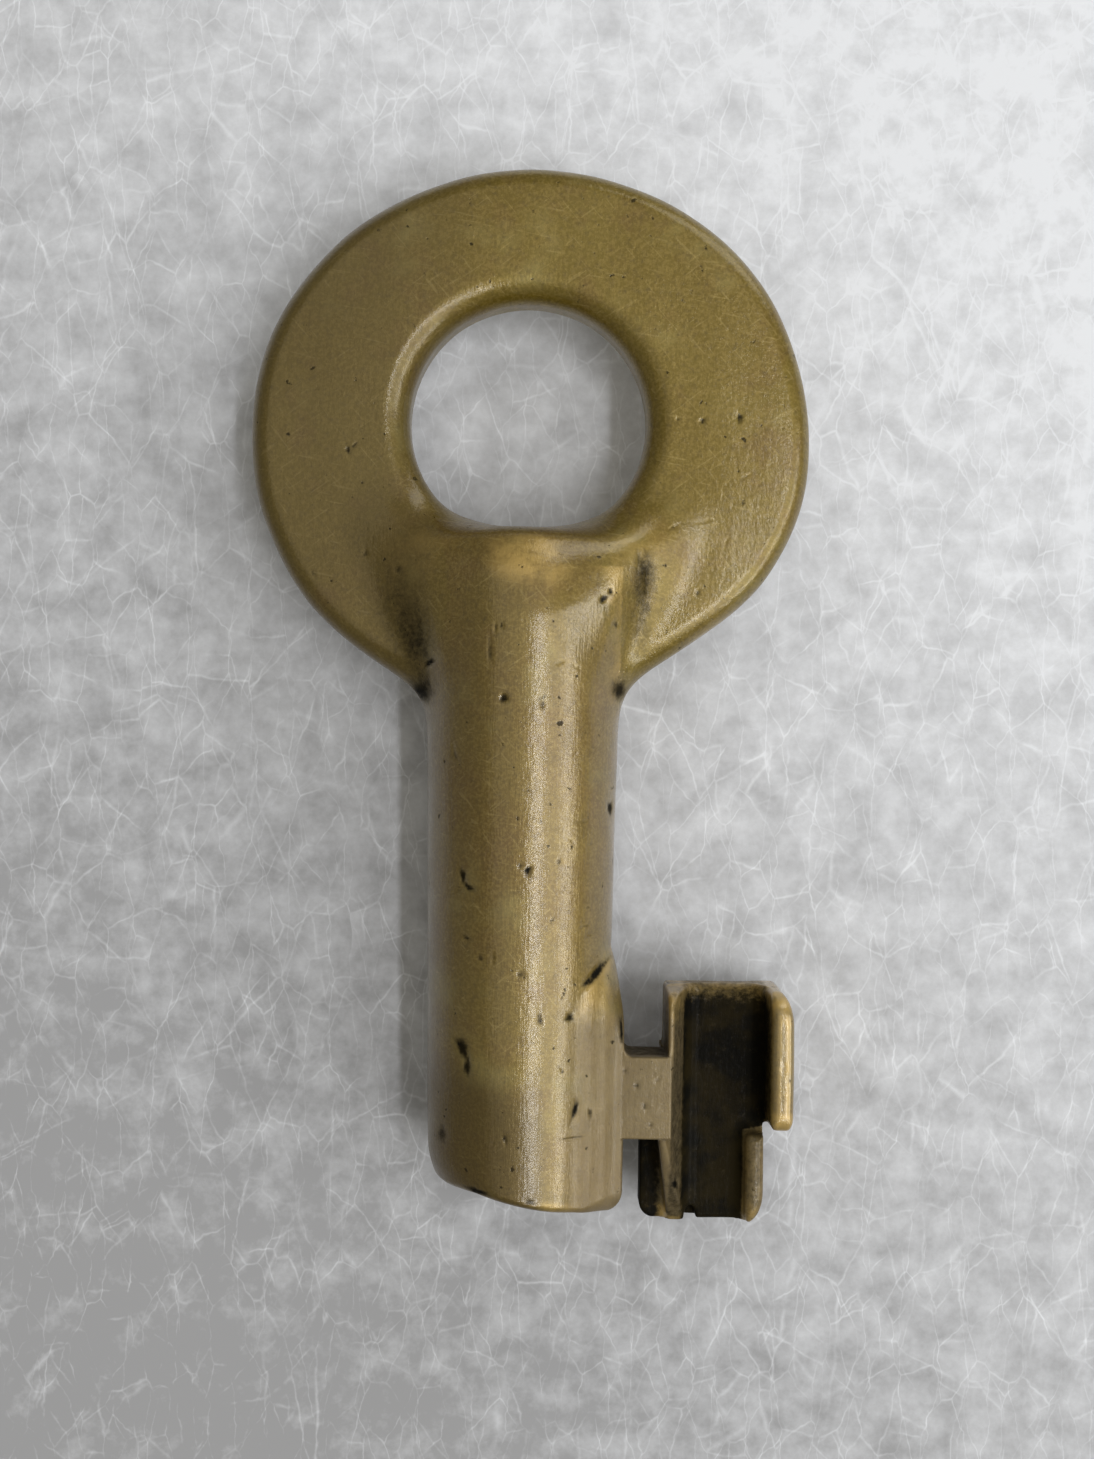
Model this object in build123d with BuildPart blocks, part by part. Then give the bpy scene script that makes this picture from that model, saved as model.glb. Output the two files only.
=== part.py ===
import os
from math import cos, radians, sin, sqrt, tan

from build123d import *

# A hollow-barrel lock key, built up from brass. The disc bow is let into a slot in
# the barrel's top, the bit is let into a groove along the barrel's side, and braze
# fillets close both joints.
# The origin is the centre of the barrel's mouth. +Y runs up the barrel to the bow,
# +X is the side that the bit stands on, and +Z is the front. Sizes are millimetres.

# Barrel
barrel_radius = 4.82
mouth_radius = 4.45
taper_length = 23.5
shank_length = 25.0
bore_radius = 3.0
bore_depth = 21.0
drill_point_angle = 118.0
mouth_slant = 9.6
mouth_round = 0.6
bore_chamfer = 0.2

# Joints
braze_gap = 0.04
bow_seat = 0.8
groove_depth = 0.85

# Bow
bow_radius = 14.02
bow_thickness = 3.0
bow_edge_round = 1.1
bow_offset = 0.18
flank_angle = 34.0
right_flank_cut = 1.42
left_flank_cut = 0.65
flank_blend = 10.0
hole_radius = 5.92
hole_offset = -0.18
hole_lift = 1.35
hole_round = 1.15
hole_flat_rise = 0.45

# Ends of the barrel's two cheeks, over the bow: the crest sinks a little, then
# rounds over to the end face at the hole's flat
crest_length = 4.6
crest_drop = 0.57
crest_radius = 9.5
end_round_length = 1.65
end_round_radius = 2.6

# Bit: a tang in the groove, a web, and a head with a channel along it
web_front = 2.3
web_thickness = 2.9
web_low = 2.94
web_width = 4.0
web_length = 2.2
tang_proud = 0.85
tang_rise = 2.06
head_width = 6.15
head_thickness = 4.8
head_rise = 3.26
head_drop = 4.74
floor_thickness = 1.6
rib_width = 1.0
rib_crest = 0.3
lip_width = 1.2
lip_drop = 0.5
lip_lean = 0.15
step_width = 1.22
step_rise = 0.3
foot_reach = 1.3
low_rib_shift = 0.55
low_rib_length = 2.49
low_lip_width = 0.9
low_lip_drop = 2.1
top_corner = 1.25
step_corner = 0.9
foot_corner = 1.4
heel_corner = 0.6
tang_corner = 0.25
lip_round = 0.35

# Braze fillets: the radius that each would have if it met both pieces smoothly,
# and how much flatter its arc is than that
bow_braze_radius = 2.2
bit_braze_front_radius = 2.0
bit_braze_back_radius = 0.8
bit_braze_runout = 2.6
braze_flatness = 1.25

# Places worked out from the sizes
slope = radians(flank_angle)
taper = (barrel_radius - mouth_radius) / taper_length
slot_floor = shank_length - bow_seat
tongue_foot = slot_floor + braze_gap
bow_face = bow_thickness / 2
right_flank = bow_radius - right_flank_cut
flank_drop = (right_flank - (barrel_radius - bow_offset) * sin(slope)) / cos(slope)
bow_y = shank_length + flank_drop
hole_x = bow_offset + hole_offset
hole_y = bow_y + hole_lift
hole_flat_y = hole_y - hole_radius + hole_flat_rise
crest_start = hole_flat_y - crest_length
drill_point = bore_radius / tan(radians(drill_point_angle / 2))
groove_floor = mouth_radius - groove_depth
tang_root = groove_floor + braze_gap
tang_reach = mouth_radius + tang_proud
web_back = web_front - web_thickness
web_middle = (web_front + web_back) / 2
web_high = web_low + web_width
tang_top = web_high + tang_rise
head_left = tang_reach + web_length
head_right = head_left + head_width
head_top = web_high + head_rise
head_low = web_low - head_drop
head_back = web_front - head_thickness
channel_left = head_left + rib_width
channel_floor = head_back + floor_thickness
lip_front = web_front - lip_drop
step_height = web_low + step_rise
foot_left = head_left - foot_reach
foot_right = head_right - step_width
low_rib_left = head_left - low_rib_shift
low_rib_end = web_low - low_rib_length
low_lip_front = web_front - low_lip_drop
runout_end = tang_top + bit_braze_runout
runout_x = mouth_radius + taper * runout_end
crest_low = barrel_radius - crest_drop
end_height = crest_low - end_round_length
spare = 2.0

mouth_rise = tan(radians(mouth_slant))
mouth_plane = Plane(origin=(0, 0, 0), z_dir=(mouth_rise, 1, 0))

# The bow's outline is a disc with a flat worn on each lower flank. The flats meet
# the barrel's sides, and nothing of the disc goes below the slot's floor.
with BuildSketch(Plane.XY) as bow_outline:
    with Locations((bow_offset, bow_y)):
        Circle(bow_radius)
    for side, cut in ((1, right_flank_cut), (-1, left_flank_cut)):
        flank_x = bow_offset + side * bow_radius * sin(slope)
        flank_y = bow_y - bow_radius * cos(slope)
        with Locations(Location((flank_x, flank_y, 0), (0, 0, side * flank_angle - 90))):
            Rectangle(2 * cut, 2 * bow_radius, mode=Mode.SUBTRACT)
    with Locations((0, tongue_foot)):
        Rectangle(4 * bow_radius, bow_radius, align=(Align.CENTER, Align.MAX), mode=Mode.SUBTRACT)
    shoulders = ((side * bow_radius * cos(slope), bow_y - bow_radius * sin(slope), 0) for side in (1, -1))
    fillet([bow_outline.vertices().sort_by_distance(shoulder)[0] for shoulder in shoulders], flank_blend)

# Bow: the disc with its rounded edges, the ring hole, and the tongue that fills the
# barrel's slot flush with the barrel's sides. The tongue's end is the hole's flat.
with BuildPart() as bow:
    extrude(bow_outline.sketch, amount=bow_face, both=True)
    face_edges = bow.edges().group_by(Axis.Z)
    fillet(face_edges[0].sort_by(Axis.Y)[1:] + face_edges[-1].sort_by(Axis.Y)[1:], bow_edge_round)
    with Locations((hole_x, hole_y)):
        Hole(hole_radius)
    hole_rims = bow.faces().sort_by_distance((hole_x - hole_radius, hole_y, 0))[0].edges().filter_by(GeomType.CIRCLE)
    fillet(hole_rims, hole_round)
    with BuildSketch(Plane.XZ.offset(-tongue_foot)):
        Circle(barrel_radius)
        Rectangle(2 * barrel_radius, bow_thickness, mode=Mode.INTERSECT)
    extrude(amount=tongue_foot - hole_flat_y)
bow.part.label = "bow"

# What the worn cheek ends leave free in front of the bow, seen from the side.
with BuildSketch(Plane.YZ) as worn_space:
    with BuildLine():
        round_start = (hole_flat_y - end_round_length, crest_low)
        RadiusArc((crest_start, barrel_radius), round_start, crest_radius)
        RadiusArc(round_start, (hole_flat_y, end_height), end_round_radius)
        Polyline((hole_flat_y, end_height), (hole_flat_y + spare, end_height),
                 (hole_flat_y + spare, barrel_radius + spare), (crest_start, barrel_radius + spare),
                 (crest_start, barrel_radius))
    make_face()
    mirror(about=Plane.XZ)

# Barrel: a tapered rod, drilled from the mouth, slotted from the top for the bow,
# and grooved along one side for the bit's tang.
with BuildPart() as barrel:
    with BuildSketch(Plane.XY):
        with BuildLine():
            Polyline((0, -spare), (mouth_radius - taper * spare, -spare), (barrel_radius, taper_length),
                     (barrel_radius, hole_flat_y), (0, hole_flat_y), close=True)
        make_face()
    revolve(axis=Axis.Y)
    split(bisect_by=mouth_plane, keep=Keep.TOP)
    fillet(barrel.edges().sort_by(Axis.Y)[0], mouth_round)
    extrude(worn_space.sketch, amount=barrel_radius + spare, both=True, mode=Mode.SUBTRACT)
    with BuildSketch(Plane.XY):
        with BuildLine():
            Polyline((0, -spare), (bore_radius, -spare), (bore_radius, bore_depth),
                     (0, bore_depth + drill_point), close=True)
        make_face()
    revolve(axis=Axis.Y, mode=Mode.SUBTRACT)
    chamfer(barrel.edges().sort_by_distance((0, 0, 0))[0], bore_chamfer)
    with Locations((0, slot_floor, 0)):
        Box(2 * (barrel_radius + spare), bow_radius, bow_thickness,
            align=(Align.CENTER, Align.MIN, Align.CENTER), mode=Mode.SUBTRACT)
    with Locations((groove_floor, tang_top, web_middle)):
        Box(barrel_radius, tang_top + 2 * spare, web_thickness,
            align=(Align.MIN, Align.MAX, Align.CENTER), mode=Mode.SUBTRACT)
barrel.part.label = "barrel"

# Bit, seen from the front: the tang, the web, and the head, whose lower end is
# stepped in at the right and stands out to the left as a foot.
with BuildSketch(Plane.XY) as bit_outline:
    with BuildLine():
        Polyline((tang_root, -tang_root * mouth_rise), (tang_reach, -tang_reach * mouth_rise),
                 (tang_reach, tang_top), (tang_root, tang_top), close=True)
    make_face()
    for left, right, low, high in (
        (tang_root, head_right, web_low, web_high),
        (head_left, head_right, step_height, head_top),
        (head_left, foot_right, head_low, head_top),
        (foot_left, foot_right, head_low, web_low),
    ):
        with Locations((left, low)):
            Rectangle(right - left, high - low, align=Align.MIN)
    for x, y, radius in (
        (head_left, head_top, heel_corner),
        (head_right, head_top, top_corner),
        (head_right, step_height, step_corner),
        (foot_right, head_low, foot_corner),
        (foot_left, head_low, heel_corner),
        (tang_reach, tang_top, tang_corner),
        (tang_reach, -tang_reach * mouth_rise, heel_corner),
    ):
        fillet(bit_outline.vertices().sort_by_distance((x, y, 0))[0], radius)

# The head's two sections, seen along the barrel, are a floor at the back, a rib at
# the barrel's side and a lip at the far side. The web and tang are one flat bar.
with BuildPart() as bit:
    for low, high, left, right, lip, front in (
        (step_height, head_top, head_left, head_right, lip_width, lip_front),
        (head_low, step_height, low_rib_left, foot_right, low_lip_width, low_lip_front),
    ):
        with BuildSketch(Plane.XZ.offset(-low)) as section:
            with BuildLine():
                Polyline((left, head_back), (right, head_back), (right, front), (right - lip, front),
                         (right - lip - lip_lean, channel_floor), (channel_left, channel_floor),
                         (left + rib_crest, web_front), (left, web_front), close=True)
            make_face()
            lip_corners = [section.vertices().sort_by_distance((x, 0, front))[0] for x in (right, right - lip)]
            fillet(lip_corners, lip_round)
        extrude(amount=low - high)
    # The rib's crest stops short of the head's lower end.
    with Locations((low_rib_left, low_rib_end, channel_floor)):
        Box(channel_left - low_rib_left, low_rib_end - head_low, barrel_radius,
            align=(Align.MIN, Align.MAX, Align.MIN), mode=Mode.SUBTRACT)
    with Locations((foot_left, head_low, head_back)):
        Box(head_left - foot_left, web_low - head_low, floor_thickness, align=Align.MIN)
    with Locations((groove_floor, -spare, web_back)):
        Box(tang_reach - groove_floor, tang_top + spare, web_thickness, align=Align.MIN)
    with Locations((tang_root, web_low, web_back)):
        Box(head_left + rib_crest - tang_root, web_width, web_thickness, align=Align.MIN)
    extrude(bit_outline.sketch, amount=barrel_radius, both=True, mode=Mode.INTERSECT)
bit.part.label = "bit"


def braze_section(rod_radius, face, fillet_radius):
    """Draws the section between a rod round the origin and a flat at height face."""
    centre_height = face + fillet_radius
    centre_x = sqrt((rod_radius + fillet_radius) ** 2 - centre_height**2)
    share = rod_radius / (rod_radius + fillet_radius)
    crease = (sqrt(rod_radius**2 - face**2), face)
    toe = (centre_x, face)
    top = (centre_x * share, centre_height * share)
    with BuildSketch() as section:
        with BuildLine():
            Line(crease, toe)
            RadiusArc(toe, top, fillet_radius * braze_flatness)
            RadiusArc(top, crease, rod_radius)
        make_face()
    return section.sketch


# Bow braze: four fillets between the barrel's cheeks and the bow's two faces. They
# end at the rounded edges of the bow and of its hole.
with BuildPart() as bow_braze:
    with BuildSketch(Plane.XZ.offset(-slot_floor)):
        add(braze_section(barrel_radius, bow_face, bow_braze_radius))
        mirror(about=Plane.XZ)
        mirror(about=Plane.YZ)
    extrude(amount=slot_floor - hole_flat_y)
    with BuildSketch(Plane.XY):
        offset(bow_outline.sketch, amount=-bow_edge_round)
        with Locations((hole_x, hole_y)):
            Circle(hole_radius + hole_round, mode=Mode.SUBTRACT)
    extrude(amount=barrel_radius, both=True, mode=Mode.INTERSECT)
    extrude(worn_space.sketch, amount=barrel_radius + bow_braze_radius, both=True, mode=Mode.SUBTRACT)
bow_braze.part.label = "bow_braze"

# Bit braze: a fillet down the front and the back of the tang, which stops above the
# mouth's rounded edge, and a run-out from the tang's top end to the barrel.
with BuildPart() as bit_braze:
    with BuildSketch(Plane.XZ.offset(spare)):
        add(braze_section(mouth_radius, web_front, bit_braze_front_radius))
        mirror(braze_section(mouth_radius, -web_back, bit_braze_back_radius), about=Plane.XZ)
    extrude(amount=-spare - tang_top)
    with BuildSketch(Plane.XY.offset(web_back)):
        with BuildLine():
            Polyline((tang_root, tang_top), (tang_reach - tang_corner, tang_top), (runout_x, runout_end),
                     (tang_root, runout_end), close=True)
        make_face()
    extrude(amount=web_thickness)
    split(bisect_by=mouth_plane.offset(1.5 * mouth_round), keep=Keep.TOP)
    add(barrel.part, mode=Mode.SUBTRACT)
    add(bit.part, mode=Mode.SUBTRACT)
bit_braze.part.label = "bit_braze"

os.makedirs("parts", exist_ok=True)
for piece in (bow, barrel, bit, bow_braze, bit_braze):
    export_step(piece.part, f"parts/{piece.part.label}.step")
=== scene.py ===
from math import cos, radians, sin

import bpy
import numpy as np
from mathutils import Matrix, Vector


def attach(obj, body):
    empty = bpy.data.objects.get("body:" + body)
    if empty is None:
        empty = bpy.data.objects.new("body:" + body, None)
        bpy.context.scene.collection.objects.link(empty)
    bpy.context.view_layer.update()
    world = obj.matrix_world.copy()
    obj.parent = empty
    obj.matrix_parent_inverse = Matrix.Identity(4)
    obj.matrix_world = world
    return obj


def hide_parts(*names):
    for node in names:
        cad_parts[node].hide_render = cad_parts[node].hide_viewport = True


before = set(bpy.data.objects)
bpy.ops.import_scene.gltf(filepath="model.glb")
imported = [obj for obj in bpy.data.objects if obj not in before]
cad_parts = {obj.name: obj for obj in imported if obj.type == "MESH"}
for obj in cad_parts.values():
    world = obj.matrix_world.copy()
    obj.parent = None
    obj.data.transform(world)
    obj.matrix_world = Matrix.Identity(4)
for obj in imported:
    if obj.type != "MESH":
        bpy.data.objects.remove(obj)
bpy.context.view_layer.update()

# Barrel. A brass rod, turned with a slight taper and drilled from the mouth to slip over
# the lock's pin. Its top is slotted for the bow, and pocket wear has rounded the ends of
# the two cheeks that this leaves. Sizes are millimetres, with the mouth's centre at 0.
barrel_radius = 4.82
mouth_radius = 4.45
taper_length = 23.5
taper = (barrel_radius - mouth_radius) / taper_length
mouth_lean = radians(9.6)
mouth_wear = 0.2
bore_radius = 3.0
bore_tip = 22.8
drill_half_angle = radians(59)
slot_floor = 24.24
crest_start = 28.05
crest_radius = 9.5
crest_depth = 4.675
crest_flatness = 0.82
cheek_round = 0.8
ring_flat = 32.95
barrel_streak = (8000, 900, 8000)
barrel_tones = (107, 84, 18), (114, 94, 29)


def kept(a, b, radius):
    """The solid that two forms share, with its edge rounded over."""
    near_a, near_b = np.maximum(radius + a, 0), np.maximum(radius + b, 0)
    return np.minimum(-radius, np.maximum(a, b)) + np.hypot(near_a, near_b)


def soft_greater(a, b, width):
    """The greater of two distances, blended where they are close."""
    return np.maximum(a, b) + np.maximum(width - np.abs(a - b), 0) ** 2 / (4 * width)


def ramp(value, low, high):
    """0 below low, 1 above high, and a smooth rise between them."""
    share = np.clip((value - low) / (high - low), 0, 1)
    return share * share * (3 - 2 * share)


def barrel_rod(x, y, z):
    """Distance from the turned rod with its worn cheek ends, below 0 inside it."""
    rod = np.hypot(x, z) - np.minimum(mouth_radius + taper * y, barrel_radius)
    over_crest = np.hypot(crest_flatness * x, z) + crest_depth
    crest = np.hypot(np.maximum(y - crest_start, 0), over_crest) - crest_radius
    crest = soft_greater(rod, crest, 0.01 + 0.6 * ramp(y, 28.0, 30.5))
    return kept(crest, y - ring_flat, cheek_round)


def below_mouth(x, y, z):
    """Distance below the slanted mouth, which long wear has hollowed at the front."""
    worn_in = mouth_wear * np.exp(-((x + 1.6) / 2.2) ** 2) * ramp(z, 0, 4)
    return worn_in - x * sin(mouth_lean) - y * cos(mouth_lean)


def barrel_bore(x, y, z):
    """Distance from the drilled bore and the cone that the drill's point left."""
    width = np.hypot(x, z)
    tip = (y - bore_tip) * sin(drill_half_angle) + width * cos(drill_half_angle)
    return np.maximum(width - bore_radius, tip)


# Knocks in the barrel: where each is, which way it faces, its turn from the barrel's line
# in degrees, and its length, width and depth.
barrel_knocks = [
    (-0.85, 24.49, 1, 0, 0.24, 0.2, 0.28), (-2.74, 15.95, 1, 12, 0.42, 0.17, 0.16),
    (-2.42, 15.4, 1, 55, 0.4, 0.16, 0.18), (-2.9, 15.2, 1, -60, 0.25, 0.14, 0.08),
    (-2.62, 7.6, 1, 20, 0.62, 0.3, 0.16), (-2.38, 6.75, 1, 0, 0.5, 0.2, 0.2),
    (-2.5, 12.95, 1, 60, 0.32, 0.12, 0.12), (-1.82, 12.03, 1, 30, 0.2, 0.14, 0.12),
    (3.85, 11.2, 1, -42, 0.8, 0.24, 0.26), (3.35, 10.8, 1, -42, 0.35, 0.14, 0.14),
    (2.85, 4.66, 1, -14, 0.5, 0.14, 0.15), (2.8, 3.3, 1, -87, 0.62, 0.08, 0.1),
    (2.54, 9.15, 1, 0, 0.22, 0.2, 0.16), (3.6, 4.4, 1, 10, 0.28, 0.12, 0.12),
    (-1.0, 27.95, 1, 5, 0.2, 0.1, 0.12), (-1.3, 27.85, 1, -10, 0.22, 0.09, 0.1),
    (-1.55, 26.75, 1, 3, 0.62, 0.14, 0.1), (1.79, 26.25, 1, -70, 0.25, 0.12, 0.06),
    (1.01, 24.56, 1, -70, 0.35, 0.14, 0.06), (1.0, 24.2, 1, 10, 0.2, 0.14, 0.1),
    (3.85, 29.37, 1, -50, 0.26, 0.16, 0.16), (4.2, 29.75, 1, 0, 0.16, 0.12, 0.14),
    (4.5, 28.2, 1, 0, 0.16, 0.14, 0.12), (4.39, 19.2, 1, 0, 0.34, 0.16, 0.2),
    (0.42, 16.27, 1, -20, 0.26, 0.16, 0.16), (0.04, 16.5, 1, 20, 0.2, 0.14, 0.1),
    (1.9, 16.7, 1, 0, 0.14, 0.12, 0.1), (3.12, 18.58, 1, -80, 0.34, 0.08, 0.08),
    (1.1, 9.14, 1, 15, 0.3, 0.12, 0.12), (0.11, 11.3, 1, -30, 0.25, 0.2, 0.08),
    (3.46, 13.0, 1, -65, 0.24, 0.07, 0.08), (3.2, 13.5, 1, -75, 0.26, 0.08, 0.09),
    (-0.49, 3.4, 1, 10, 0.24, 0.1, 0.12), (-1.2, 12.1, 1, 5, 0.22, 0.1, 0.1),
    (1.62, 13.9, 1, -60, 0.18, 0.1, 0.1), (2.2, 6.6, 1, 0, 0.14, 0.1, 0.1),
    (-3.2, 21.7, 1, 25, 0.3, 0.12, 0.08), (-3.6, 3.2, 1, 0, 0.5, 0.3, 0.1),
    (-1.8, 0.75, 1, 80, 0.7, 0.2, 0.14), (0.8, 0.35, 1, 70, 0.4, 0.14, 0.1),
    (1.9, 21.0, -1, 30, 0.6, 0.16, 0.16), (-2.2, 11.5, -1, -35, 0.7, 0.2, 0.16),
    (-0.6, 5.4, -1, 70, 0.5, 0.14, 0.12), (2.6, 16.2, -1, 5, 0.3, 0.25, 0.16),
]

# Bow. A disc sawn from 3 mm brass plate and let into the barrel's slot. Its rim and ring
# hole are worn round, its lower flanks nearly flat, and its two faces plain and smooth.
bow_x = 0.18
bow_y = 37.07
bow_radius = 14.0
bow_half = 1.5
bow_rim_round = 1.1
flank_lean = radians(34)
right_flank_wear = 1.42
left_flank_wear = 0.65
flank_blend = 0.7
hole_x = 0.04
hole_y = 38.42
hole_radius = 5.92
hole_round_front = 1.35
hole_round_back = 0.5
bow_streak = (5000, 1500, 5000)
bow_tones = (110, 91, 16), (116, 98, 27)

# How far the rim stands out of a true circle, going round it in degrees.
rim_turns = (
    -180, -173, -166, -159, -150, -140, -125, -90, -55, -37, -30, -23, -16, -9, 0,
    12, 19, 33, 45, 60, 75, 90, 117, 131, 145, 159, 166, 173, 180,
)
rim_wear = (
    -0.02, -0.05, -0.1, -0.28, -0.38, -0.5, -0.6, -0.6, -0.7, -0.7, -0.54, -0.36, -0.16, -0.02, 0.0,
    0.05, 0.09, 0.25, 0.24, 0.14, 0.03, 0.0, 0.0, 0.13, 0.18, 0.24, 0.16, 0.08, -0.02,
)
rim_turn = np.arange(-180, 181)  # every degree, with the steps between smeared smooth
smear = np.exp(-(np.arange(-12, 13) / 5.0) ** 2)
rim_worn = np.pad(np.interp(rim_turn[:-1], rim_turns, rim_wear), 12, "wrap")
rim_worn = np.convolve(rim_worn, smear / smear.sum(), "valid")
rim_worn = np.append(rim_worn, rim_worn[0]).astype(np.float32)


def bow_rim(x, y):
    """Distance from the disc's outline, which wear has taken a little off the round."""
    turn = np.degrees(np.arctan2(y - bow_y, x - bow_x))
    rim = np.hypot(x - bow_x, y - bow_y) - bow_radius - np.interp(turn, rim_turn, rim_worn)
    for side, wear in ((1, right_flank_wear), (-1, left_flank_wear)):
        flank = side * (x - bow_x) * sin(flank_lean) - (y - bow_y) * cos(flank_lean)
        rim = soft_greater(rim, flank - bow_radius + wear, flank_blend)
    return rim


def bow_plate(z, rim, ring):
    """The disc with its round edges, worn a little thinner at the hole and the rim."""
    face = np.abs(z) - bow_half + np.minimum(0.1 * ((ring + 4) / 4) ** 2, 0.16)
    form = kept(rim, face, bow_rim_round)
    return kept(form, ring, np.where(z > 0, hole_round_front, hole_round_back + 0 * z))


# Knocks in the bow, given as the barrel's are.
bow_knocks = [
    (-8.84, 36.71, 1, 20, 0.22, 0.12, 0.14), (-8.55, 36.95, 1, -40, 0.25, 0.08, 0.1),
    (-8.95, 37.0, 1, 60, 0.2, 0.08, 0.08), (10.54, 38.59, 1, 0, 0.24, 0.12, 0.2),
    (8.71, 38.41, 1, 0, 0.15, 0.14, 0.16), (7.5, 38.5, 1, 0, 0.1, 0.1, 0.1),
    (7.3, 33.1, 1, -60, 0.3, 0.1, 0.08), (8.9, 33.45, 1, -78, 0.6, 0.06, 0.03),
    (-10.2, 35.0, 1, -62, 0.5, 0.07, 0.04), (8.6, 29.9, 1, 0, 0.16, 0.12, 0.12),
    (-10.5, 30.6, 1, 30, 0.3, 0.1, 0.08), (-7.9, 31.6, 1, 10, 0.2, 0.14, 0.1),
    (-6.2, 30.8, 1, 0, 0.25, 0.2, 0.1), (-6.0, 28.6, 1, 20, 0.3, 0.2, 0.1),
    (6.0, 30.2, 1, 5, 0.5, 0.14, 0.1), (5.6, 31.4, 1, 0, 0.4, 0.16, 0.1),
    (-9.6, 43.2, 1, 45, 0.3, 0.08, 0.06), (2.0, 48.4, 1, 80, 0.4, 0.06, 0.05),
    (-4.6, 26.2, 1, -55, 0.4, 0.16, 0.14), (-7.0, 42.0, -1, 30, 0.6, 0.1, 0.1),
    (8.0, 35.5, -1, -40, 0.5, 0.12, 0.12), (3.5, 47.2, -1, 70, 0.4, 0.1, 0.1),
    (-9.0, 33.0, -1, 10, 0.3, 0.2, 0.12),
]

# Bow braze. Spelter run along both cheeks on the front and the back, dressed and then
# worn to hollow fillets that fade out at the rim and at the ring hole.
bow_braze_least = 2.4
bow_braze_reach = 4.4
bow_braze_streak = (6000, 1200, 6000)
bow_braze_tones = (109, 89, 18), (115, 97, 28)


def melted(a, b, reach):
    """Two forms run together, with a hollow between them that starts and ends softly."""
    share = np.maximum(reach - np.abs(a - b), 0) / reach
    return np.minimum(a, b) - share ** 3 * reach / 6


def bow_braze_size(z, rim, ring):
    """How wide the hollow is: narrow at the rim and the hole, and on the cheeks' tops."""
    reach = bow_braze_least + bow_braze_reach * ramp(-rim, 0.0, 5.0) * ramp(-ring, -0.8, 2.6)
    return reach * (1 - 0.44 * ramp(np.abs(z), 3.0, 4.5))


# Bit braze. A fillet down each side of the tang, and a run-out that carries its top end
# down to the barrel.
bit_braze_front = 2.4
bit_braze_back = 0.7
bit_braze_top = 11.6
bit_braze_streak = (8000, 900, 8000)
bit_braze_tones = (126, 104, 50), (132, 114, 62)


def bit_braze_size(x, y, z):
    """How large the fillet is: full at the tang's front, and gone where it runs out."""
    front = bit_braze_front * ramp(z, -0.4, 1.6) * ramp(x, 1.9, 3.7) * ramp(5.7 - x, 0, 1.5)
    return (bit_braze_back + front) * ramp(13.2 - y, 0, 2.8) + 0.05


def joined(a, b, radius):
    """Two forms made one, with a round fillet between them."""
    near_a, near_b = np.maximum(radius - a, 0), np.maximum(radius - b, 0)
    return np.maximum(radius, np.minimum(a, b)) - np.hypot(near_a, near_b)


# Bit. Cut from bar brass: a tang let into a groove along the barrel, a web, and a head
# that is channelled from end to end to pass the lock's wards, and stepped at its foot.
groove_floor = 3.64
tang_side = 5.3
tang_top = 9.0
tang_front = 2.3
tang_back = -0.6
web_root = 3.9
web_low = 2.94
web_high = 7.05
head_left = 7.4
head_right = 13.74
head_top = 10.2
head_low = -1.8
head_back = -2.5
channel_foot = 8.62
channel_floor = -0.9
lip_inner = 12.42
step = 3.24
foot_left = 6.25
foot_right = 12.5
foot_lip_inner = 11.5
foot_lip_front = 0.2
bit_streak = (6000, 1200, 6000)
bit_tones = (128, 108, 64), (136, 120, 80)


def bar(value, low, high):
    """Distance from a slab between two flat sides."""
    return np.abs(value - (low + high) / 2) - (high - low) / 2


def corner(a, b, along_a, along_b):
    """The corner where side a meets side b, worn to a quarter ellipse."""
    return np.maximum(kept(a, b * along_a / along_b, along_a), np.maximum(a, b))


def tang_outline(x, y):
    """The tang seen from the front, its top end running out into the barrel."""
    run_out = 0.972 * (x - tang_side) + 0.235 * (y - tang_top)
    side = np.maximum(soft_greater(x - tang_side, run_out, 0.2), 2.0 - x)
    return kept(side, y - 12.2, 0.3)


def bit_tang(x, y, z):
    """The tang, whose front face slopes off into the barrel at its top end."""
    front = soft_greater(z - tang_front, 0.958 * (z - tang_front) + 0.287 * (y - 8.9), 0.3)
    softness = 0.25 + 0.65 * ramp(y, 7.5, 10)
    return kept(tang_outline(x, y), np.maximum(front, tang_back - z), softness)


def bit_lip(x, z, side, inner, top):
    """A lip along the head's outer side."""
    inside = inner - x + 0.055 * (z - channel_floor)
    return kept(kept(side, inside, 0.3), np.maximum(head_back - z, z - top), 0.42)


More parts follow.
